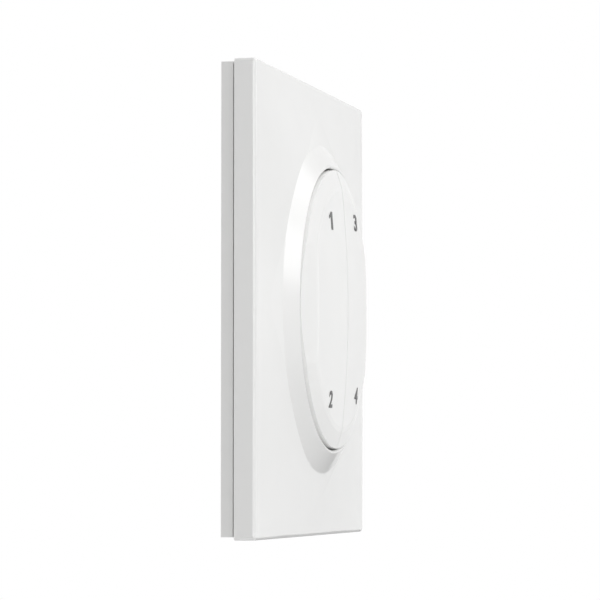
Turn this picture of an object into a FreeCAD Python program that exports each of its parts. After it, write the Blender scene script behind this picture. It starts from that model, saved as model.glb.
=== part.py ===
import FreeCAD, Part
import math
import os

V = FreeCAD.Vector

# Outside of the switch, in millimetres. Depths are counted from the wall outwards.
plate_side = 80.0
back_inset = 0.53
back_edge = 2.05
shadow_gap = 0.3
skirt_height = 3.76
crown_rise = 3.46
front_fillet = 0.6
corner_fillet = 0.7
collar_r = 28.98
collar_depth = 7.87
foot_slope = 0.16
foot_length = 5.0
foot_blend = 0.2
opening_r = 24.9
rim_depth = 9.96
rim_fillet = 0.4
rim_land = 0.15

# Walls of the mouldings.
skirt_wall = 1.2
plate_wall = 1.6
collar_wall = 1.37
floor_wall = 1.4
lip_wall = 1.2
lip_top = 4.0
hollow_rise = 0.32
collar_overlap = 0.8
tail_thick = 0.9
tail_inset = 0.4
rib_half = 5.0

# Clearances.
fit_gap = 0.15
running_gap = 0.05
fork_gap = 0.1
side_gap = 0.3
stop_gap = 0.05
press_gap = 0.02

# Rockers.
rocker_gap = 0.3
split_gap = 0.15
dome_r = 210.0
dome_depth = rim_depth + 2.54
crease_x = 0.755 * opening_r
crease_tilt = 10.0
end_crease_r = 0.855 * opening_r
end_tilt = 10.0
crease_fillet = 5.0
rocker_wall = 1.4
rocker_side_wall = 1.2
rocker_skirt_depth = 7.6
tilt = 2.5
pivot_depth = 6.2
trunnion_r = 1.25
trunnion_length = 1.05
trunnion_end_gap = 0.1
ear_wall = 1.2
ear_r = 2.2
inner_ear_x = 2.0
outer_ear_x = 0.683 * opening_r
leg_half = 1.1
leg_drop = 1.0
spring_rib_width = 2.8
spring_rib_thick = 1.2
post_side_gap = 1.0
post_top_gap = 0.6

# Chassis, its screws and the wall screws.
chassis_floor = 1.2
chassis_wall = 1.4
boss_height = 0.7
boss_r = 2.6
pilot_r = 0.8
screw_r = 1.0
screw_head_r = 1.9
screw_head = 0.9
screw_length = 3.4
drive_r = 0.8
drive_depth = 0.5
pilot_floor = 0.5
post_wall = 2.2
post_half = 2.4
post_top = 8.5
wall_screw_spacing = 60.0
wall_slot_r = 2.1
wall_slot_length = 8.0

# Generator under each rocker: lever, magnet, coil.
# Places across the tray are shares of the opening's radius.
generator_x = 0.32 * opening_r
lever_y = 0.44 * opening_r
drive_y = 0.68 * opening_r
lever_width = 3.0
lever_thick = 1.8
fork_thick = 2.8
fork_root = 2.0
fork_slot = 0.9
fork_reach = 1.3
lever_pin_r = 0.6
drive_pin_r = 0.6
bearing_wall = 1.1
bearing_half = 1.5
pole_front_y = 0.25 * opening_r
pole_thick = 0.7
lever_boss_r = 1.2
magnet_front_y = 0.32 * opening_r
pole_half_gap = 1.25
core_width = 3.0
core_thick = 0.8
core_tip_y = 0.29 * opening_r
bobbin_front_y = 0.217 * opening_r
bobbin_back_y = -0.28 * opening_r
core_foot = 1.0
bobbin_width = 6.0
flange = 1.0
bobbin_wall = 0.7
winding_inset = 0.25
winding_fillet = 1.0

# Return springs.
spring_x = 0.562 * opening_r
spring_width = 2.4
spring_thick = 0.3
spring_tip_y = 0.462 * opening_r
spring_tip_depth = 8.6
spring_seat_depth = 4.9
spring_seat_half = 2.0
spring_lip = 1.1
spring_lip_drop = 0.3

# Electronics.
board_thick = 1.0
board_edge_y = -0.4 * opening_r
board_gap = 0.5
part_gap = 1.0
shield_x = 13.0
shield_y = 0.32 * opening_r
shield_height = 2.0
shield_fillet = 0.4
chip_side = 2.0
chip_height = 0.9
control_chip_width = 4.0
capacitor_r = 1.9
capacitor_height = 2.2
antenna_thick = 0.3
antenna_height = 1.2
antenna_tab = 2.0
tab_thick = 0.2
tab_bond = 0.15

# Sizes that follow from the ones above.
edge_depth = back_edge + shadow_gap + skirt_height
skirt_bottom = back_edge + shadow_gap
rocker_r = opening_r - rocker_gap
boss_top = floor_wall + boss_height
tray_floor = boss_top + chassis_floor
tray_r = opening_r - rocker_gap / 2
tray_inner_r = tray_r - chassis_wall
tray_top = rocker_skirt_depth - rocker_r * math.sin(math.radians(tilt)) - stop_gap
board_top = tray_floor + board_thick
boss_at = (tray_inner_r - antenna_thick - board_gap - boss_r) * math.sqrt(0.5)
magnet_back_y = lever_y - lever_boss_r


def block(x0, x1, y0, y1, d0, d1):
    return Part.makeBox(x1 - x0, y1 - y0, d1 - d0, V(x0, y0, d0))


def square(side, d0, d1):
    return block(-side / 2, side / 2, -side / 2, side / 2, d0, d1)


def disc(r, d0, d1, x=0.0, y=0.0):
    return Part.makeCylinder(r, d1 - d0, V(x, y, d0))


def rod(r, x0, x1, y, d):
    return Part.makeCylinder(r, x1 - x0, V(x0, y, d), V(1, 0, 0))


def ring(r0, r1, d0, d1):
    return disc(r1, d0, d1).cut(disc(r0, d0, d1))


def ball(x, d, r):
    # The seam is turned to the left, away from the half where the balls are used.
    sphere = Part.makeSphere(r, V(x, 0, d))
    sphere.rotate(V(x, 0, d), V(0, 0, 1), 180)
    return sphere


def mirrored(shape):
    return shape.mirror(V(0, 0, 0), V(1, 0, 0))


def save(name, *solids):
    # The depth direction is turned to face -Y, so that the plate stands upright against the wall.
    solids = [s.removeSplitter() for s in solids]
    shape = solids[0] if len(solids) == 1 else Part.makeCompound(solids)
    if shape.ShapeType == "Compound" and len(shape.Solids) == 1:
        shape = shape.Solids[0]
    turned = shape.copy()
    turned.rotate(V(0, 0, 0), V(1, 0, 0), 90)
    turned.exportStep("parts/" + name + ".step")


os.makedirs("parts", exist_ok=True)


# Back plate: a shallow tray screwed to the wall, with a lip that locates the front plate.
back_side = plate_side - 2 * back_inset
lip_side = plate_side - 2 * (skirt_wall + fit_gap)
lip_inner = lip_side - 2 * lip_wall
hook_y = 18.0
hook_half = 3.0
hook_wall = 1.3
barb = 0.7
barb_top = 2.75
barb_bottom = 1.95
back_plate = square(back_side, 0, back_edge).fuse(square(lip_side, 0, lip_top))
back_plate = back_plate.cut(square(lip_inner, floor_wall, lip_top + 1))
boss_places = [(sx * boss_at, sy * boss_at) for sx in (-1, 1) for sy in (-1, 1)]
for x, y in boss_places:
    back_plate = back_plate.fuse(disc(boss_r, floor_wall, boss_top, x, y))
    back_plate = back_plate.cut(disc(pilot_r, pilot_floor, boss_top, x, y))
slot_half = wall_slot_length / 2 - wall_slot_r
for sx in (-1, 1):
    mid = sx * wall_screw_spacing / 2
    slot = block(mid - slot_half, mid + slot_half, -wall_slot_r, wall_slot_r, 0, floor_wall)
    slot = slot.fuse(disc(wall_slot_r, 0, floor_wall, mid - slot_half))
    slot = slot.fuse(disc(wall_slot_r, 0, floor_wall, mid + slot_half))
    back_plate = back_plate.cut(slot)
    # Pockets in the lip take the barbs of the front plate's hooks.
    for sy in (-1, 1):
        inner = sx * lip_inner / 2
        outer = inner + sx * (barb + fit_gap)
        back_plate = back_plate.cut(
            block(
                min(inner, outer),
                max(inner, outer),
                sy * hook_y - hook_half - fit_gap,
                sy * hook_y + hook_half + fit_gap,
                barb_bottom - fit_gap,
                barb_top + fit_gap,
            )
        )
save("back_plate", back_plate)


# Front plate: one crowned patch with straight edges, thin skirt walls and a conical collar.
def crown(side, depth):
    # The middle pole lifts the patch; its edges stay straight.
    patch = Part.BezierSurface()
    patch.increase(2, 2)
    for i in range(3):
        for j in range(3):
            lift = 4 * crown_rise if i == j == 1 else 0.0
            patch.setPole(i + 1, j + 1, V((i - 1) * side / 2, (j - 1) * side / 2, depth + lift))
    return patch.toShape().extrude(V(0, 0, -plate_side))


plate = crown(plate_side, edge_depth).common(square(plate_side, skirt_bottom, plate_side))
upright = [e for e in plate.Edges if abs(e.tangentAt(e.FirstParameter).z) > 0.99]
plate = plate.makeFillet(corner_fillet, upright)
rim_edges = [e for e in plate.Edges if e.BoundBox.ZMin > edge_depth - 0.3]
plate = plate.makeFillet(front_fillet, rim_edges)
inner_side = plate_side - 2 * skirt_wall
cavity = crown(plate_side, edge_depth - plate_wall).common(square(inner_side, 0, plate_side))
plate = plate.cut(cavity)
flank_slope = (rim_depth - collar_depth) / (collar_r - opening_r - rim_fillet - rim_land)
bore_r = collar_r - collar_overlap
plate = plate.cut(disc(bore_r, 0, plate_side))

# Collar section: bore wall, rounded rim with a narrow land, flank, foot that runs into the crown.
rim_out = V(opening_r + rim_fillet, 0, rim_depth)
rim_in = V(opening_r, 0, rim_depth - rim_fillet)
turn = rim_fillet * (1 - math.sqrt(0.5))
rim_mid = V(opening_r + turn, 0, rim_depth - turn)
land_out = V(opening_r + rim_fillet + rim_land, 0, rim_depth)
foot_in = V(collar_r - foot_blend, 0, collar_depth + foot_blend * flank_slope)
foot_out = V(collar_r + foot_blend, 0, collar_depth - foot_blend * foot_slope)
foot_mid = V(collar_r, 0, collar_depth + foot_blend * (flank_slope - foot_slope) / 4)
tail_r = collar_r + foot_length
tail = V(tail_r, 0, collar_depth - foot_length * foot_slope)
under = V(tail_r - tail_inset, 0, tail.z - tail_thick)
skirt_out = opening_r + collar_wall
step = V(skirt_out, 0, collar_depth + hollow_rise)
low_out = V(skirt_out, 0, edge_depth)
low_in = V(opening_r, 0, edge_depth)
section = Part.Wire(
    [
        Part.makeLine(low_in, rim_in),
        Part.Arc(rim_in, rim_mid, rim_out).toShape(),
        Part.makeLine(rim_out, land_out),
        Part.makeLine(land_out, foot_in),
        Part.Arc(foot_in, foot_mid, foot_out).toShape(),
        Part.makeLine(foot_out, tail),
        Part.makeLine(tail, under),
        Part.makeLine(under, step),
        Part.makeLine(step, low_out),
        Part.makeLine(low_out, low_in),
    ]
)
collar = Part.Face(section).revolve(V(0, 0, 0), V(0, 0, 1), 360)
plate = plate.fuse(collar)

# Hooks clip into the lip of the back plate, and ribs seat on top of it.
hook_out = lip_inner / 2 - fit_gap
under_crown = crown(plate_side, edge_depth - plate_wall / 2)
for sx in (-1, 1):
    for sy in (-1, 1):
        y0 = sy * hook_y - hook_half
        y1 = sy * hook_y + hook_half
        leg = block(hook_out - hook_wall, hook_out, y0, y1, barb_bottom, plate_side).common(under_crown)
        tip = block(hook_out, hook_out + barb, y0, y1, barb_bottom, barb_top)
        hook = leg.fuse(tip)
        plate = plate.fuse(hook if sx > 0 else mirrored(hook))
rib_out = lip_side / 2
for turns in range(4):
    rib = block(rib_out - lip_wall, rib_out, -rib_half, rib_half, lip_top, plate_side).common(under_crown)
    rib.rotate(V(0, 0, 0), V(0, 0, 1), 90 * turns)
    plate = plate.fuse(rib)
save("front_plate", plate)


# Chassis: a round tray with bearings for both rockers and both generator levers.
trunnion_bore = trunnion_r + running_gap
outer_post = outer_ear_x + ear_wall + side_gap
inner_post = inner_ear_x - side_gap
chassis = disc(tray_r, boss_top, tray_floor).fuse(ring(tray_inner_r, tray_r, boss_top, tray_top))
post = block(-inner_post, inner_post, -post_half, post_half, boss_top, post_top)
chassis = chassis.fuse(post)
for sx in (-1, 1):
    a = outer_post
    b = outer_post + post_wall
    side = block(a, b, -post_half, post_half, boss_top, post_top)
    side = side.cut(rod(trunnion_bore, a, a + trunnion_length + side_gap, 0, pivot_depth))
    inner_end = inner_post - trunnion_length - trunnion_end_gap
    inner = rod(trunnion_bore, inner_end, inner_post, 0, pivot_depth)
    chassis = chassis.cut(inner if sx > 0 else mirrored(inner))
    lever_room = lever_width / 2 + side_gap
    for low in (generator_x - lever_room - bearing_wall, generator_x + lever_room):
        high = low + bearing_wall
        y0 = lever_y - bearing_half
        y1 = lever_y + bearing_half
        bearing = block(low, high, y0, y1, boss_top, pivot_depth + bearing_half)
        bearing = bearing.cut(rod(lever_pin_r + press_gap, low, high, lever_y, pivot_depth))
        side = side.fuse(bearing)
    seat_half = spring_width / 2 + side_gap
    seat_top = spring_seat_depth - spring_thick
    seat_low = spring_x - seat_half
    seat_high = spring_x + seat_half
    side = side.fuse(block(seat_low, seat_high, -spring_seat_half, spring_seat_half, boss_top, seat_top))
    chassis = chassis.fuse(side if sx > 0 else mirrored(side))
for x, y in boss_places:
    if y > 0:
        chassis = chassis.fuse(disc(boss_r, boss_top, board_top, x, y))
    chassis = chassis.cut(disc(screw_r + fit_gap, boss_top, board_top, x, y))
save("chassis", chassis)


# Four equal screws hold the board and the chassis to the bosses of the back plate.
screws = []
for x, y in boss_places:
    head = disc(screw_head_r, board_top, board_top + screw_head, x, y)
    shank = disc(pilot_r, board_top - screw_length, board_top, x, y)
    drive = disc(drive_r, board_top + screw_head - drive_depth, board_top + screw_head, x, y)
    screws.append(head.fuse(shank).cut(drive))
save("chassis_screws", *screws)


# Rocker: half of a domed disc, shelled, with ears, trunnions, drive legs and spring ribs.
split = split_gap / 2
right_half = block(split, plate_side, -plate_side, plate_side, 0, plate_side)
centre_depth = dome_depth - dome_r
# Beyond a straight crease the side falls away steeper, and beyond a round one each end does too.
steep = math.asin(crease_x / dome_r) + math.radians(crease_tilt)
side_ball_r = math.sqrt(dome_r**2 - crease_x**2) / math.cos(steep)
side_ball = ball(crease_x - side_ball_r * math.sin(steep), centre_depth, side_ball_r)
end_steep = math.asin(end_crease_r / dome_r) + math.radians(end_tilt)
end_ball_r = end_crease_r / math.sin(end_steep)
end_depth = centre_depth + math.sqrt(dome_r**2 - end_crease_r**2)
end_ball = ball(0, end_depth - end_ball_r * math.cos(end_steep), end_ball_r)
top_form = ball(0, centre_depth, dome_r).common(side_ball).common(end_ball)
body = disc(rocker_r, rocker_skirt_depth, dome_depth + 1).common(right_half).common(top_form)
crease = [e for e in body.Edges if abs(e.BoundBox.XMin - crease_x) < 0.01 and e.BoundBox.XLength < 0.01]
body = body.makeFillet(crease_fillet, crease)
hollow = disc(rocker_r - rocker_wall, 0, dome_depth).common(top_form.translated(V(0, 0, -rocker_wall)))
inner_wall = split + rocker_side_wall
rocker = body.cut(hollow.common(right_half.translated(V(rocker_side_wall, 0, 0))))
notch = post_half + post_side_gap
rocker = rocker.cut(block(0, inner_wall, -notch, notch, 0, post_top + post_top_gap))

inside = top_form.translated(V(0, 0, -rocker_wall / 2))
lugs = []
for x in (inner_ear_x, outer_ear_x):
    ear = rod(ear_r, x, x + ear_wall, 0, pivot_depth)
    lugs.append(ear.fuse(block(x, x + ear_wall, -ear_r, ear_r, pivot_depth, plate_side)))
trunnions = rod(trunnion_r, inner_ear_x - side_gap - trunnion_length, inner_ear_x, 0, pivot_depth)
far = outer_ear_x + ear_wall
trunnions = trunnions.fuse(rod(trunnion_r, far, far + side_gap + trunnion_length, 0, pivot_depth))
leg_in = lever_width / 2 + side_gap
for low in (generator_x - leg_in - bearing_wall, generator_x + leg_in):
    y0 = drive_y - leg_half
    y1 = drive_y + leg_half
    lugs.append(block(low, low + bearing_wall, y0, y1, pivot_depth - leg_drop, plate_side))
for sy in (-1, 1):
    y = sy * spring_tip_y
    low = spring_tip_depth + stop_gap
    x0 = spring_x - spring_rib_width / 2
    x1 = spring_x + spring_rib_width / 2
    lugs.append(block(x0, x1, y - spring_rib_thick / 2, y + spring_rib_thick / 2, low, plate_side))
for lug in lugs:
    rocker = rocker.fuse(lug.common(inside))
reach = leg_in + bearing_wall / 2
rocker = rocker.fuse(trunnions)
rocker = rocker.fuse(rod(drive_pin_r, generator_x - reach, generator_x + reach, drive_y, pivot_depth))
save("rocker_right", rocker)
save("rocker_left", mirrored(rocker))


# Generator lever: a forked bar on its own pin, with the magnet and pole plates on its short end.
lo = generator_x - lever_width / 2
hi = generator_x + lever_width / 2
fork_half = drive_pin_r + fork_gap
head_half = pole_half_gap + pole_thick
fork_end = drive_y + fork_reach


def bar(y0, y1, half):
    return block(lo, hi, y0, y1, pivot_depth - half, pivot_depth + half)


lever = bar(magnet_back_y, fork_end, lever_thick / 2)
lever = lever.fuse(bar(drive_y - fork_root, fork_end, fork_thick / 2))
lever = lever.fuse(bar(magnet_back_y, lever_y, head_half))
lever = lever.fuse(rod(lever_boss_r, lo, hi, lever_y, pivot_depth))
lever = lever.cut(rod(lever_pin_r + running_gap, lo, hi, lever_y, pivot_depth))
lever = lever.cut(bar(drive_y - fork_slot, fork_end, fork_half))
pin_reach = lever_width / 2 + side_gap + bearing_wall
lever_pin = rod(lever_pin_r, generator_x - pin_reach, generator_x + pin_reach, lever_y, pivot_depth)
magnet = bar(magnet_front_y, magnet_back_y, pole_half_gap)
pole_up = block(lo, hi, pole_front_y, magnet_back_y, pivot_depth + pole_half_gap, pivot_depth + head_half)
pole_down = block(lo, hi, pole_front_y, magnet_back_y, pivot_depth - head_half, pivot_depth - pole_half_gap)


# Coil: a bobbin standing on the tray floor, its winding, and an iron core with a broad foot.
def slab(width, thick, y0, y1):
    x0 = generator_x - width / 2
    return block(x0, x0 + width, y0, y1, pivot_depth - thick / 2, pivot_depth + thick / 2)


bobbin_tall = 2 * (pivot_depth - tray_floor)
hole_width = core_width + 2 * fork_gap
hole_thick = core_thick + 2 * fork_gap
tube_width = hole_width + 2 * bobbin_wall
tube_thick = hole_thick + 2 * bobbin_wall
bobbin = slab(tube_width, tube_thick, bobbin_back_y, bobbin_front_y)
bobbin = bobbin.fuse(slab(bobbin_width, bobbin_tall, bobbin_back_y, bobbin_back_y + flange))
bobbin = bobbin.fuse(slab(bobbin_width, bobbin_tall, bobbin_front_y - flange, bobbin_front_y))
bobbin = bobbin.cut(slab(hole_width, hole_thick, bobbin_back_y, bobbin_front_y))
coil_back = bobbin_back_y + flange
coil_front = bobbin_front_y - flange
winding = slab(bobbin_width - 2 * winding_inset, bobbin_tall - 2 * winding_inset, coil_back, coil_front)
long_edges = [e for e in winding.Edges if abs(e.tangentAt(e.FirstParameter).y) > 0.99]
winding = winding.makeFillet(winding_fillet, long_edges)
winding = winding.cut(slab(tube_width, tube_thick, coil_back, coil_front))
core = slab(core_width, core_thick, bobbin_back_y - core_foot, core_tip_y)
core = core.fuse(slab(bobbin_width - 1, 3 * core_thick, bobbin_back_y - core_foot, bobbin_back_y))

# Return spring: a leaf seated on the chassis, its two arms rising to the rocker's ribs.
tip = spring_tip_y
seat = spring_seat_half
upper = [
    (-tip - spring_lip, spring_tip_depth - spring_lip_drop),
    (-tip, spring_tip_depth),
    (-seat, spring_seat_depth),
    (seat, spring_seat_depth),
    (tip, spring_tip_depth),
    (tip + spring_lip, spring_tip_depth - spring_lip_drop),
]
lower = [(y, d - spring_thick) for y, d in reversed(upper)]
x0 = spring_x - spring_width / 2
outline = [V(x0, y, d) for y, d in upper + lower]
spring = Part.Face(Part.makePolygon(outline + outline[:1])).extrude(V(spring_width, 0, 0))

pairs = [
    ("generator_lever", [lever]),
    ("lever_pin", [lever_pin]),
    ("magnet", [magnet]),
    ("pole_plates", [pole_up, pole_down]),
    ("coil_bobbin", [bobbin]),
    ("coil_winding", [winding]),
    ("coil_core", [core]),
    ("return_spring", [spring]),
]
for name, solids in pairs:
    save(name + "_right", *solids)
    save(name + "_left", *[mirrored(s) for s in solids])


# Circuit board in the lower part of the tray, with the parts that stand on it.
board_r = tray_inner_r - board_gap
board = disc(board_r, tray_floor, board_top).common(
    block(-plate_side, plate_side, -plate_side, board_edge_y, 0, plate_side)
)
for x, y in boss_places:
    board = board.cut(disc(screw_r + fit_gap, tray_floor, board_top, x, y))
save("circuit_board", board)
shield_y0 = board_edge_y - part_gap - shield_y
shield_y1 = shield_y0 + shield_y
shield = block(-shield_x / 2, shield_x / 2, shield_y0, shield_y1, board_top, board_top + shield_height)
tops = [e for e in shield.Edges if e.BoundBox.ZMin > board_top + 0.1]
save("radio_shield", shield.makeFillet(shield_fillet, tops))
chip_x = shield_x / 2 + part_gap
chip_y = board_edge_y - part_gap - chip_side
chip = block(chip_x, chip_x + chip_side, chip_y, chip_y + chip_side, board_top, board_top + chip_height)
save("rectifier_chips", chip, mirrored(chip))
can_x = shield_x / 2 + part_gap + capacitor_r
can_y = chip_y - part_gap - capacitor_r
can = disc(capacitor_r, board_top, board_top + capacitor_height, can_x, can_y)
save("storage_capacitors", can, mirrored(can))
control_y = shield_y0 - part_gap / 2
control_half = control_chip_width / 2
control_y0 = control_y - chip_side
control = block(-control_half, control_half, control_y0, control_y, board_top, board_top + chip_height)
save("control_chip", control)

# Antenna: a thin strip standing along the tray wall, with a tab soldered to the board.
antenna_out = tray_inner_r - running_gap
strip = ring(antenna_out - antenna_thick, antenna_out, tray_floor, tray_floor + antenna_height)
span = 2 * antenna_out
tab_low = board_edge_y - antenna_tab
strip = strip.common(block(-span, span, tab_low, span, 0, span))
strip = strip.cut(block(0, span, -span, board_edge_y + antenna_tab, 0, span))
tab_x = math.sqrt((antenna_out - antenna_thick) ** 2 - tab_low**2)
tab_high = tab_low + antenna_tab / 2
tab = block(-tab_x, -tab_x + antenna_tab, tab_low, tab_high, board_top, board_top + tab_thick)
tab = tab.fuse(tab.translated(V(-tab_bond, 0, 0)))
strip = strip.fuse(tab.common(disc(antenna_out, 0, span)))
save("antenna", strip)
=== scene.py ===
import math
import bmesh
import bpy
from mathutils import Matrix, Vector


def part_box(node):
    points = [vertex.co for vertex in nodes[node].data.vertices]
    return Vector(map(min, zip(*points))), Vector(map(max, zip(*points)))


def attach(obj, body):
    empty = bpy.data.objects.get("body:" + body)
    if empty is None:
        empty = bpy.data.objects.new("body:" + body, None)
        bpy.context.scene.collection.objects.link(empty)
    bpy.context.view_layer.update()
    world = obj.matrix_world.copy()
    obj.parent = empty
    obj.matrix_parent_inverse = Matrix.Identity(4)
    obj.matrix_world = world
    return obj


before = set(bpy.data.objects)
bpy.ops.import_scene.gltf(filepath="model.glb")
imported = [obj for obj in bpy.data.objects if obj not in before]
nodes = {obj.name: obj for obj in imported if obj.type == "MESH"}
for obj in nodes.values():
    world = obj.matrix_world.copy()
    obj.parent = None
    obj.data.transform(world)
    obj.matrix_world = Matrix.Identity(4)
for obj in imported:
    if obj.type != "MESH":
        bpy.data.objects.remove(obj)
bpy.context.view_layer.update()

# Back plate: the shallow tray that two screws hold to the wall, injection-moulded in white ABS.
# Its rim shows behind the shadow groove, and its lip locates the front plate.


def linear(hexa):
    parts = [int(hexa[i : i + 2], 16) / 255 for i in (1, 3, 5)]
    return [c / 12.92 if c <= 0.04045 else ((c + 0.055) / 1.055) ** 2.4 for c in parts] + [1.0]


def add(tree, kind, settings, links):
    made = tree.nodes.new(kind)
    for name, value in settings.items():
        if hasattr(made, name):
            setattr(made, name, value)
        else:
            made.inputs[name].default_value = value
    for name, socket in links.items():
        tree.links.new(socket, made.inputs[name])
    return made


# ABS from a spark-eroded mould: a nearly neutral white with soft, broad highlights. The real texture
# is under 0.1 mm and is drawn coarser here, so that it shows.
abs_grain_mm = 0.35
abs_flow_mm = 14.0
abs_white = bpy.data.materials.new("abs_white_moulded_satin")
abs_white.use_nodes = True
tree = abs_white.node_tree
place = add(tree, "ShaderNodeTexCoord", {}, {})
grain = add(
    tree,
    "ShaderNodeTexNoise",
    {"Scale": 1000 / abs_grain_mm, "Detail": 2.0},
    {"Vector": place.outputs["Object"]},
)
flow = add(
    tree,
    "ShaderNodeTexNoise",
    {"Scale": 1000 / abs_flow_mm, "Detail": 1.0},
    {"Vector": place.outputs["Object"]},
)
tint = add(
    tree,
    "ShaderNodeMix",
    {"data_type": "RGBA", "A": linear("#f0f0ef"), "B": linear("#f2f2f1")},
    {"Factor": flow.outputs["Fac"]},
)
dull = add(tree, "ShaderNodeMapRange", {"To Min": 0.2, "To Max": 0.23}, {"Value": grain.outputs["Fac"]})
relief = add(
    tree, "ShaderNodeBump", {"Strength": 0.02, "Distance": 0.00002}, {"Height": grain.outputs["Fac"]}
)
skin = tree.nodes["Principled BSDF"]
skin.inputs["IOR"].default_value = 1.53
tree.links.new(tint.outputs["Result"], skin.inputs["Base Color"])
tree.links.new(dull.outputs["Result"], skin.inputs["Roughness"])
tree.links.new(relief.outputs["Normal"], skin.inputs["Normal"])
# The back plate gets a copy of the same white ABS painted a touch greyer: painted shade for the shadow
# that the front plate's skirt casts on its rim.
abs_white_painted_shade = abs_white.copy()
abs_white_painted_shade.name = "abs_white_painted_shade_moulded_satin"
abs_white_painted_shade.node_tree.nodes["Mix"].inputs["A"].default_value = linear("#e9e9e8")
abs_white_painted_shade.node_tree.nodes["Mix"].inputs["B"].default_value = linear("#ebebea")
nodes["back_plate"].material_slots[0].material = abs_white_painted_shade

# Chassis: the round tray that carries the bearings of the rockers and levers, moulded in grey nylon
# and screwed to the back plate. Its wall shows only as a dark line round the rockers.
# Nylon leaves the mould with a waxy, slightly cloudy grey surface.
nylon_cloud_mm = 2.5
nylon_grey = bpy.data.materials.new("nylon_grey_moulded")
nylon_grey.use_nodes = True
tree = nylon_grey.node_tree
place = add(tree, "ShaderNodeTexCoord", {}, {})
cloud = add(
    tree,
    "ShaderNodeTexNoise",
    {"Scale": 1000 / nylon_cloud_mm, "Detail": 3.0},
    {"Vector": place.outputs["Object"]},
)
tint = add(
    tree,
    "ShaderNodeMix",
    {"data_type": "RGBA", "A": linear("#cfcfcc"), "B": linear("#d8d8d5")},
    {"Factor": cloud.outputs["Fac"]},
)
dull = add(tree, "ShaderNodeMapRange", {"To Min": 0.42, "To Max": 0.52}, {"Value": cloud.outputs["Fac"]})
skin = tree.nodes["Principled BSDF"]
skin.inputs["IOR"].default_value = 1.53
tree.links.new(tint.outputs["Result"], skin.inputs["Base Color"])
tree.links.new(dull.outputs["Result"], skin.inputs["Roughness"])
nodes["chassis"].material_slots[0].material = nylon_grey

# Chassis screws: four equal self-tapping screws of zinc-plated steel, driven into the bosses of the
# back plate. Bright zinc is a pale, bluish metal with fine spangles.
zinc_spangle_mm = 0.4
zinc_steel = bpy.data.materials.new("steel_zinc_plated")
zinc_steel.use_nodes = True
tree = zinc_steel.node_tree
place = add(tree, "ShaderNodeTexCoord", {}, {})
spangle = add(
    tree, "ShaderNodeTexVoronoi", {"Scale": 1000 / zinc_spangle_mm}, {"Vector": place.outputs["Object"]}
)
tint = add(
    tree,
    "ShaderNodeMix",
    {"data_type": "RGBA", "A": linear("#c4c7cb"), "B": linear("#d2d4d6")},
    {"Factor": spangle.outputs["Distance"]},
)
dull = add(
    tree,
    "ShaderNodeMapRange",
    {"To Min": 0.22, "To Max": 0.38},
    {"Value": spangle.outputs["Distance"]},
)
skin = tree.nodes["Principled BSDF"]
skin.inputs["Metallic"].default_value = 1.0
tree.links.new(tint.outputs["Result"], skin.inputs["Base Color"])
tree.links.new(dull.outputs["Result"], skin.inputs["Roughness"])
nodes["chassis_screws"].material_slots[0].material = zinc_steel

# Circuit board: glass-cloth laminate under green solder mask, held by the two lower screws.
# The weave of the cloth shows faintly through the mask.
# A wave texture turns through 20 radians in each unit of length at a scale of 1.
wave_radians = 20
cloth_thread_mm = 0.5
board_laminate = bpy.data.materials.new("glass_epoxy_green_solder_mask")
board_laminate.use_nodes = True
tree = board_laminate.node_tree
place = add(tree, "ShaderNodeTexCoord", {}, {})
warp = add(
    tree,
    "ShaderNodeTexWave",
    {"bands_direction": "X", "Scale": 1000 / cloth_thread_mm / wave_radians, "Distortion": 0.4},
    {"Vector": place.outputs["Object"]},
)
weft = add(
    tree,
    "ShaderNodeTexWave",
    {"bands_direction": "Z", "Scale": 1000 / cloth_thread_mm / wave_radians, "Distortion": 0.4},
    {"Vector": place.outputs["Object"]},
)
weave = add(
    tree, "ShaderNodeMath", {"operation": "MULTIPLY"}, {0: warp.outputs["Fac"], 1: weft.outputs["Fac"]}
)
tint = add(
    tree,
    "ShaderNodeMix",
    {"data_type": "RGBA", "A": linear("#1c5a33"), "B": linear("#276b40")},
    {"Factor": weave.outputs[0]},
)
dull = add(tree, "ShaderNodeMapRange", {"To Min": 0.3, "To Max": 0.4}, {"Value": weave.outputs[0]})
skin = tree.nodes["Principled BSDF"]
tree.links.new(tint.outputs["Result"], skin.inputs["Base Color"])
tree.links.new(dull.outputs["Result"], skin.inputs["Roughness"])
nodes["circuit_board"].material_slots[0].material = board_laminate

# Radio shield: a can folded from tin-plated steel sheet and soldered over the radio.
# Tin plate is bright, with the rolling marks of the sheet across it.
rolling_mark_mm = 0.15
tin_plate = bpy.data.materials.new("steel_tin_plated_rolled")
tin_plate.use_nodes = True
tree = tin_plate.node_tree
place = add(tree, "ShaderNodeTexCoord", {}, {})
stretch = add(tree, "ShaderNodeMapping", {"Scale": (0.05, 1.0, 1.0)}, {"Vector": place.outputs["Object"]})
marks = add(
    tree,
    "ShaderNodeTexNoise",
    {"Scale": 1000 / rolling_mark_mm, "Detail": 2.0},
    {"Vector": stretch.outputs["Vector"]},
)
tint = add(
    tree,
    "ShaderNodeMix",
    {"data_type": "RGBA", "A": linear("#cdccc8"), "B": linear("#d9d8d4")},
    {"Factor": marks.outputs["Fac"]},
)
dull = add(tree, "ShaderNodeMapRange", {"To Min": 0.24, "To Max": 0.4}, {"Value": marks.outputs["Fac"]})
skin = tree.nodes["Principled BSDF"]
skin.inputs["Metallic"].default_value = 1.0
tree.links.new(tint.outputs["Result"], skin.inputs["Base Color"])
tree.links.new(dull.outputs["Result"], skin.inputs["Roughness"])
nodes["radio_shield"].material_slots[0].material = tin_plate

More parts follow.
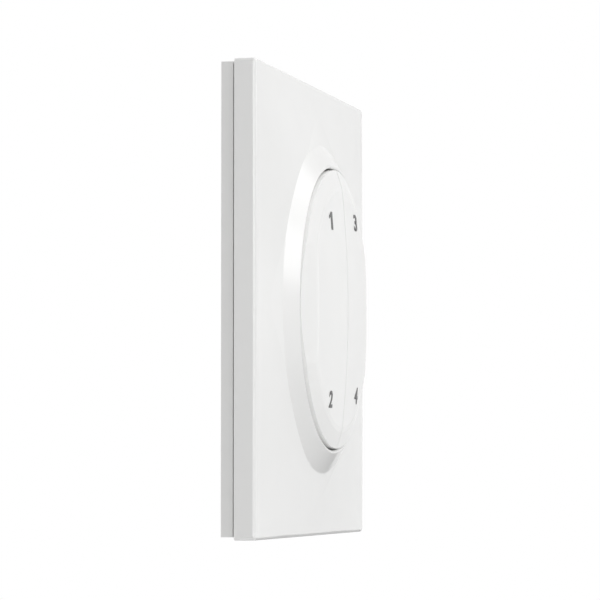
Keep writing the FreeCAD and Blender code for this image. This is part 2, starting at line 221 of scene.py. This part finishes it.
# Chips: the rectifiers and the controller, moulded in black filled epoxy and soldered to the board.
# The filler gives the black surface a matt, speckled look.
filler_mm = 0.15
chip_epoxy = bpy.data.materials.new("epoxy_black_filled")
chip_epoxy.use_nodes = True
tree = chip_epoxy.node_tree
place = add(tree, "ShaderNodeTexCoord", {}, {})
filler = add(
    tree,
    "ShaderNodeTexNoise",
    {"Scale": 1000 / filler_mm, "Detail": 2.0},
    {"Vector": place.outputs["Object"]},
)
tint = add(
    tree,
    "ShaderNodeMix",
    {"data_type": "RGBA", "A": linear("#1e1e1f"), "B": linear("#2c2c2d")},
    {"Factor": filler.outputs["Fac"]},
)
dull = add(tree, "ShaderNodeMapRange", {"To Min": 0.5, "To Max": 0.68}, {"Value": filler.outputs["Fac"]})
skin = tree.nodes["Principled BSDF"]
tree.links.new(tint.outputs["Result"], skin.inputs["Base Color"])
tree.links.new(dull.outputs["Result"], skin.inputs["Roughness"])
nodes["rectifier_chips"].material_slots[0].material = chip_epoxy
nodes["control_chip"].material_slots[0].material = chip_epoxy

# Storage capacitors: two drawn aluminium cans that hold the charge of one press.
# Drawing leaves fine lines along the can.
draw_line_mm = 0.12
drawn_aluminium = bpy.data.materials.new("aluminium_drawn")
drawn_aluminium.use_nodes = True
tree = drawn_aluminium.node_tree
place = add(tree, "ShaderNodeTexCoord", {}, {})
stretch = add(tree, "ShaderNodeMapping", {"Scale": (1.0, 0.05, 1.0)}, {"Vector": place.outputs["Object"]})
lines = add(
    tree,
    "ShaderNodeTexNoise",
    {"Scale": 1000 / draw_line_mm, "Detail": 1.0},
    {"Vector": stretch.outputs["Vector"]},
)
tint = add(
    tree,
    "ShaderNodeMix",
    {"data_type": "RGBA", "A": linear("#d3d4d6"), "B": linear("#e0e1e2")},
    {"Factor": lines.outputs["Fac"]},
)
dull = add(tree, "ShaderNodeMapRange", {"To Min": 0.25, "To Max": 0.38}, {"Value": lines.outputs["Fac"]})
skin = tree.nodes["Principled BSDF"]
skin.inputs["Metallic"].default_value = 1.0
tree.links.new(tint.outputs["Result"], skin.inputs["Base Color"])
tree.links.new(dull.outputs["Result"], skin.inputs["Roughness"])
nodes["storage_capacitors"].material_slots[0].material = drawn_aluminium

# Antenna: a brass strip that stands along the tray wall, its tab soldered to the board.
# Bare brass dulls unevenly towards brown.
tarnish_mm = 3.0
brass_strip = bpy.data.materials.new("brass_rolled_bare")
brass_strip.use_nodes = True
tree = brass_strip.node_tree
place = add(tree, "ShaderNodeTexCoord", {}, {})
tarnish = add(
    tree,
    "ShaderNodeTexNoise",
    {"Scale": 1000 / tarnish_mm, "Detail": 4.0},
    {"Vector": place.outputs["Object"]},
)
tint = add(
    tree,
    "ShaderNodeMix",
    {"data_type": "RGBA", "A": linear("#d7b565"), "B": linear("#b9934a")},
    {"Factor": tarnish.outputs["Fac"]},
)
dull = add(
    tree, "ShaderNodeMapRange", {"To Min": 0.25, "To Max": 0.42}, {"Value": tarnish.outputs["Fac"]}
)
skin = tree.nodes["Principled BSDF"]
skin.inputs["Metallic"].default_value = 1.0
tree.links.new(tint.outputs["Result"], skin.inputs["Base Color"])
tree.links.new(dull.outputs["Result"], skin.inputs["Roughness"])
nodes["antenna"].material_slots[0].material = brass_strip

# Bobbins and generator levers: black nylon filled with glass, moulded. A bobbin stands on the tray,
# and a lever swings on its own pin. The glass fibres show as faint grey streaks.
fibre_mm = 0.3
nylon_black = bpy.data.materials.new("nylon_black_glass_filled")
nylon_black.use_nodes = True
tree = nylon_black.node_tree
place = add(tree, "ShaderNodeTexCoord", {}, {})
stretch = add(tree, "ShaderNodeMapping", {"Scale": (1.0, 1.0, 0.15)}, {"Vector": place.outputs["Object"]})
fibres = add(
    tree,
    "ShaderNodeTexNoise",
    {"Scale": 1000 / fibre_mm, "Detail": 2.0},
    {"Vector": stretch.outputs["Vector"]},
)
tint = add(
    tree,
    "ShaderNodeMix",
    {"data_type": "RGBA", "A": linear("#28282a"), "B": linear("#3a3a3c")},
    {"Factor": fibres.outputs["Fac"]},
)
dull = add(tree, "ShaderNodeMapRange", {"To Min": 0.45, "To Max": 0.6}, {"Value": fibres.outputs["Fac"]})
skin = tree.nodes["Principled BSDF"]
tree.links.new(tint.outputs["Result"], skin.inputs["Base Color"])
tree.links.new(dull.outputs["Result"], skin.inputs["Roughness"])
for side in ("left", "right"):
    nodes["coil_bobbin_" + side].material_slots[0].material = nylon_black
    nodes["generator_lever_" + side].material_slots[0].material = nylon_black

# Windings: enamelled copper wire, wound on the bobbins in layers. The real wire is about 0.08 mm
# thick, and the turns are drawn coarser, so that they show.
turn_mm = 0.25
copper_wire = bpy.data.materials.new("copper_wire_enamelled")
copper_wire.use_nodes = True
tree = copper_wire.node_tree
place = add(tree, "ShaderNodeTexCoord", {}, {})
turns = add(
    tree,
    "ShaderNodeTexWave",
    {
        "bands_direction": "Z",
        "Scale": 1000 / turn_mm / wave_radians,
        "Distortion": 0.3,
        "Detail": 1.0,
    },
    {"Vector": place.outputs["Object"]},
)
tint = add(
    tree,
    "ShaderNodeMix",
    {"data_type": "RGBA", "A": linear("#7c3a1c"), "B": linear("#c0693a")},
    {"Factor": turns.outputs["Fac"]},
)
relief = add(
    tree, "ShaderNodeBump", {"Strength": 0.5, "Distance": 0.00008}, {"Height": turns.outputs["Fac"]}
)
skin = tree.nodes["Principled BSDF"]
skin.inputs["Metallic"].default_value = 1.0
skin.inputs["Roughness"].default_value = 0.28
tree.links.new(tint.outputs["Result"], skin.inputs["Base Color"])
tree.links.new(relief.outputs["Normal"], skin.inputs["Normal"])
for side in ("left", "right"):
    nodes["coil_winding_" + side].material_slots[0].material = copper_wire

# Cores and pole plates: annealed soft iron, stamped from sheet. A core runs through its bobbin, and
# two pole plates clasp each magnet. Annealing leaves the iron dark grey and mottled.
scale_mm = 0.8
soft_iron = bpy.data.materials.new("iron_soft_annealed")
soft_iron.use_nodes = True
tree = soft_iron.node_tree
place = add(tree, "ShaderNodeTexCoord", {}, {})
mottle = add(
    tree,
    "ShaderNodeTexNoise",
    {"Scale": 1000 / scale_mm, "Detail": 4.0},
    {"Vector": place.outputs["Object"]},
)
tint = add(
    tree,
    "ShaderNodeMix",
    {"data_type": "RGBA", "A": linear("#8b8c8f"), "B": linear("#a6a7aa")},
    {"Factor": mottle.outputs["Fac"]},
)
dull = add(tree, "ShaderNodeMapRange", {"To Min": 0.38, "To Max": 0.55}, {"Value": mottle.outputs["Fac"]})
skin = tree.nodes["Principled BSDF"]
skin.inputs["Metallic"].default_value = 1.0
tree.links.new(tint.outputs["Result"], skin.inputs["Base Color"])
tree.links.new(dull.outputs["Result"], skin.inputs["Roughness"])
for side in ("left", "right"):
    nodes["coil_core_" + side].material_slots[0].material = soft_iron
    nodes["pole_plates_" + side].material_slots[0].material = soft_iron

# Magnets: sintered blocks with nickel plating, held between the pole plates on each lever.
# Nickel is a warm, bright metal, slightly pitted by the sintered grain under it.
pit_mm = 0.2
nickel_plate = bpy.data.materials.new("magnet_nickel_plated")
nickel_plate.use_nodes = True
tree = nickel_plate.node_tree
place = add(tree, "ShaderNodeTexCoord", {}, {})
pits = add(
    tree,
    "ShaderNodeTexNoise",
    {"Scale": 1000 / pit_mm, "Detail": 2.0},
    {"Vector": place.outputs["Object"]},
)
tint = add(
    tree,
    "ShaderNodeMix",
    {"data_type": "RGBA", "A": linear("#c8c3ba"), "B": linear("#d6d1c8")},
    {"Factor": pits.outputs["Fac"]},
)
dull = add(tree, "ShaderNodeMapRange", {"To Min": 0.15, "To Max": 0.28}, {"Value": pits.outputs["Fac"]})
skin = tree.nodes["Principled BSDF"]
skin.inputs["Metallic"].default_value = 1.0
tree.links.new(tint.outputs["Result"], skin.inputs["Base Color"])
tree.links.new(dull.outputs["Result"], skin.inputs["Roughness"])
for side in ("left", "right"):
    nodes["magnet_" + side].material_slots[0].material = nickel_plate

# Lever pins and return springs: hardened steel, the pins ground round and the springs bent from
# polished strip. Grinding leaves fine lines along the metal.
ground_line_mm = 0.1
ground_steel = bpy.data.materials.new("steel_hardened_ground")
ground_steel.use_nodes = True
tree = ground_steel.node_tree
place = add(tree, "ShaderNodeTexCoord", {}, {})
stretch = add(tree, "ShaderNodeMapping", {"Scale": (1.0, 1.0, 0.04)}, {"Vector": place.outputs["Object"]})
lines = add(
    tree,
    "ShaderNodeTexNoise",
    {"Scale": 1000 / ground_line_mm, "Detail": 1.0},
    {"Vector": stretch.outputs["Vector"]},
)
tint = add(
    tree,
    "ShaderNodeMix",
    {"data_type": "RGBA", "A": linear("#bcbec1"), "B": linear("#cbcccf")},
    {"Factor": lines.outputs["Fac"]},
)
dull = add(tree, "ShaderNodeMapRange", {"To Min": 0.2, "To Max": 0.34}, {"Value": lines.outputs["Fac"]})
skin = tree.nodes["Principled BSDF"]
skin.inputs["Metallic"].default_value = 1.0
tree.links.new(tint.outputs["Result"], skin.inputs["Base Color"])
tree.links.new(dull.outputs["Result"], skin.inputs["Roughness"])
for side in ("left", "right"):
    nodes["lever_pin_" + side].material_slots[0].material = ground_steel
    nodes["return_spring_" + side].material_slots[0].material = ground_steel

# Front plate: the visible cover, moulded in the same white ABS, with a shallow crown and a conical
# collar round its opening. Hooks behind it clip into the lip of the back plate.
nodes["front_plate"].material_slots[0].material = abs_white

# Rockers: two domed half discs of white ABS, each tilting on its own moulded trunnions.
# They come from moulds with the same texture as the plate. Their slightly brighter white is painted
# light, a painted sheen on their domes, since the plastic is the same as the plate's.
abs_white_painted_light = abs_white.copy()
abs_white_painted_light.name = "abs_white_painted_light_moulded_satin"
abs_white_painted_light.node_tree.nodes["Mix"].inputs["A"].default_value = linear("#f3f3f2")
abs_white_painted_light.node_tree.nodes["Mix"].inputs["B"].default_value = linear("#f5f5f4")
for side in ("left", "right"):
    nodes["rocker_" + side].material_slots[0].material = abs_white_painted_light

# Numbers: pad-printed in grey ink near the four ends of the rockers, following their dome.
# Printing ink on ABS is matt, slightly uneven and a little raised.
ink_grain_mm = 0.2
print_ink = bpy.data.materials.new("ink_grey_pad_printed")
print_ink.use_nodes = True
tree = print_ink.node_tree
place = add(tree, "ShaderNodeTexCoord", {}, {})
stipple = add(
    tree,
    "ShaderNodeTexNoise",
    {"Scale": 1000 / ink_grain_mm, "Detail": 1.0},
    {"Vector": place.outputs["Object"]},
)
tint = add(
    tree,
    "ShaderNodeMix",
    {"data_type": "RGBA", "A": linear("#606060"), "B": linear("#6c6c6c")},
    {"Factor": stipple.outputs["Fac"]},
)
skin = tree.nodes["Principled BSDF"]
skin.inputs["Roughness"].default_value = 0.55
tree.links.new(tint.outputs["Result"], skin.inputs["Base Color"])
digit_height = 0.0029
digit_boldness = 0.00012
font_cap_share = 0.73
dome_r = 0.210
dome_top = -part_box("rocker_left")[0][1]
ink_thick = 0.00003
weld_gap = 1e-7
# The built-in font draws its 1 as a bare bar, so the 1 has an outline of its own, in digit heights.
outline_of_one = (
    (0.0, 0.0),
    (0.22, 0.0),
    (0.22, 1.0),
    (0.04, 1.0),
    (-0.21, 0.74),
    (-0.21, 0.58),
    (0.0, 0.72),
)
# Each number has its rocker, its place on it across and up, and how much wider than the font it is.
for mark, side, across, up, widening in (
    ("1", "left", -0.0098, 0.0150, 1.6),
    ("2", "left", -0.0096, -0.0161, 1.15),
    ("3", "right", 0.0095, 0.0160, 1.8),
    ("4", "right", 0.0098, -0.0151, 1.4),
):
    form = bmesh.new()
    if mark == "1":
        tall = digit_height + 2 * digit_boldness
        form.faces.new([form.verts.new((x * tall, y * tall, 0)) for x, y in outline_of_one])
    else:
        text = bpy.data.curves.new("print_" + mark, "FONT")
        text.body = mark
        text.size = digit_height / font_cap_share
        text.offset = digit_boldness
        writer = bpy.data.objects.new("print_" + mark, text)
        form.from_mesh(bpy.data.meshes.new_from_object(writer))
        bpy.data.objects.remove(writer)
        bmesh.ops.remove_doubles(form, verts=form.verts, dist=weld_gap)
    form.normal_update()
    bmesh.ops.triangulate(form, faces=form.faces)
    mid = (min(v.co.x for v in form.verts) + max(v.co.x for v in form.verts)) / 2
    high = (min(v.co.y for v in form.verts) + max(v.co.y for v in form.verts)) / 2
    for v in form.verts:
        x = (v.co.x - mid) * widening + across
        z = v.co.y - high + up
        v.co = (x, dome_r - dome_top - math.sqrt(dome_r**2 - x * x - z * z), z)
    raised = bmesh.ops.extrude_face_region(form, geom=form.faces[:])
    for v in raised["geom"]:
        if isinstance(v, bmesh.types.BMVert):
            v.co.y -= ink_thick
    bmesh.ops.recalc_face_normals(form, faces=form.faces)
    mesh = bpy.data.meshes.new("print_" + mark)
    form.to_mesh(mesh)
    form.free()
    mesh.materials.append(print_ink)
    number = bpy.data.objects.new("print_" + mark, mesh)
    bpy.context.scene.collection.objects.link(number)
    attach(number, "rocker_" + side)

# Floor: a plain pale sheet of paper, half a metre below the switch, which hangs as on a wall.
# The sheet lies askew, so that the lower flank of the collar mirrors it and the rockers do not.
floor_drop = 0.5
floor_half_long = 2.9
floor_half_wide = 1.95
floor_turn = math.radians(33.0)
floor_mesh = bpy.data.meshes.new("floor")
along = Vector((math.cos(floor_turn), math.sin(floor_turn), 0)) * floor_half_long
aside = Vector((-math.sin(floor_turn), math.cos(floor_turn), 0)) * floor_half_wide
down = Vector((0, 0, -floor_drop))
corners = [down - along - aside, down + along - aside, down + along + aside, down - along + aside]
floor_mesh.from_pydata(corners, [], [(0, 1, 2, 3)])
floor = bpy.data.objects.new("floor", floor_mesh)
bpy.context.scene.collection.objects.link(floor)
floor_paper = bpy.data.materials.new("paper_pale_matt")
floor_paper.use_nodes = True
matt = floor_paper.node_tree.nodes["Principled BSDF"]
matt.inputs["Base Color"].default_value = linear("#f4f4f4")
matt.inputs["Roughness"].default_value = 0.9
floor_mesh.materials.append(floor_paper)

# Light: a studio that is white to the eye and in reflections, with a softer light of its own that
# fades downwards, and soft boxes round the switch that face it. Each lamp has a place, a width, a
# height and a power in watts.
world = bpy.data.worlds.new("studio")
bpy.context.scene.world = world
world.use_nodes = True
tree = world.node_tree
sky_strength = 0.26
place = add(tree, "ShaderNodeTexCoord", {}, {})
axes = add(tree, "ShaderNodeSeparateXYZ", {}, {"Vector": place.outputs["Generated"]})
fade = add(
    tree,
    "ShaderNodeMapRange",
    {"From Min": -1.0, "From Max": 1.0, "To Min": 0.0, "To Max": sky_strength},
    {"Value": axes.outputs["Z"]},
)
air = tree.nodes["Background"]
air.inputs["Color"].default_value = (1, 1, 1, 1)
tree.links.new(fade.outputs["Result"], air.inputs["Strength"])
path = add(tree, "ShaderNodeLightPath", {}, {})
mirrored = add(
    tree,
    "ShaderNodeMath",
    {"operation": "MAXIMUM"},
    {0: path.outputs["Is Transmission Ray"], 1: path.outputs["Is Glossy Ray"]},
)
shown = add(
    tree,
    "ShaderNodeMath",
    {"operation": "MAXIMUM"},
    {0: path.outputs["Is Camera Ray"], 1: mirrored.outputs[0]},
)
backdrop = add(tree, "ShaderNodeBackground", {"Color": (1, 1, 1, 1), "Strength": 1.0}, {})
mixed = add(
    tree, "ShaderNodeMixShader", {}, {0: shown.outputs[0], 1: air.outputs[0], 2: backdrop.outputs[0]}
)
tree.links.new(mixed.outputs[0], tree.nodes["World Output"].inputs["Surface"])
for name, spot, wide, high, power in (
    ("front_soft_box", (0.45, -1.05, 0.32), 0.5, 0.3, 1.4),
    ("high_right_soft_box", (0.72, -0.80, 0.63), 0.5, 0.45, 1.1),
    ("right_strip", (0.96, -0.72, 0.064), 0.05, 0.4, 0.15),
    ("far_right_strip", (1.14, -0.37, 0.06), 0.2, 0.5, 0.05),
    ("left_soft_box", (-1.1, -0.45, 0.25), 0.7, 0.7, 5.65),
    ("top_soft_box", (0.0, -0.45, 1.1), 0.7, 0.7, 5.6),
    ("low_soft_box", (-0.3, -0.9, -0.4), 0.7, 0.7, 2.3),
    ("back_soft_box", (0.7, 0.9, 0.5), 0.7, 0.7, 6.0),
):
    lamp = bpy.data.lights.new(name, "AREA")
    lamp.shape = "RECTANGLE"
    lamp.size = wide
    lamp.size_y = high
    lamp.energy = power
    holder = bpy.data.objects.new(name, lamp)
    holder.location = spot
    holder.rotation_euler = (-Vector(spot)).to_track_quat("-Z", "Y").to_euler()
    bpy.context.scene.collection.objects.link(holder)

# Camera: a long lens far to the left of the switch and a little below its middle.
view_from = (-0.54802, -0.13871, -0.02835)
view_along = Vector((0.96961, 0.23878, 0.05326))
lens = bpy.data.cameras.new("camera")
lens.sensor_width = 36.0
lens.lens = 191.065
lens.clip_start = 0.01
camera = bpy.data.objects.new("camera", lens)
camera.location = view_from
camera.rotation_euler = view_along.to_track_quat("-Z", "Y").to_euler()
bpy.context.scene.collection.objects.link(camera)
bpy.context.scene.camera = camera
bpy.context.scene.view_settings.view_transform = "Standard"
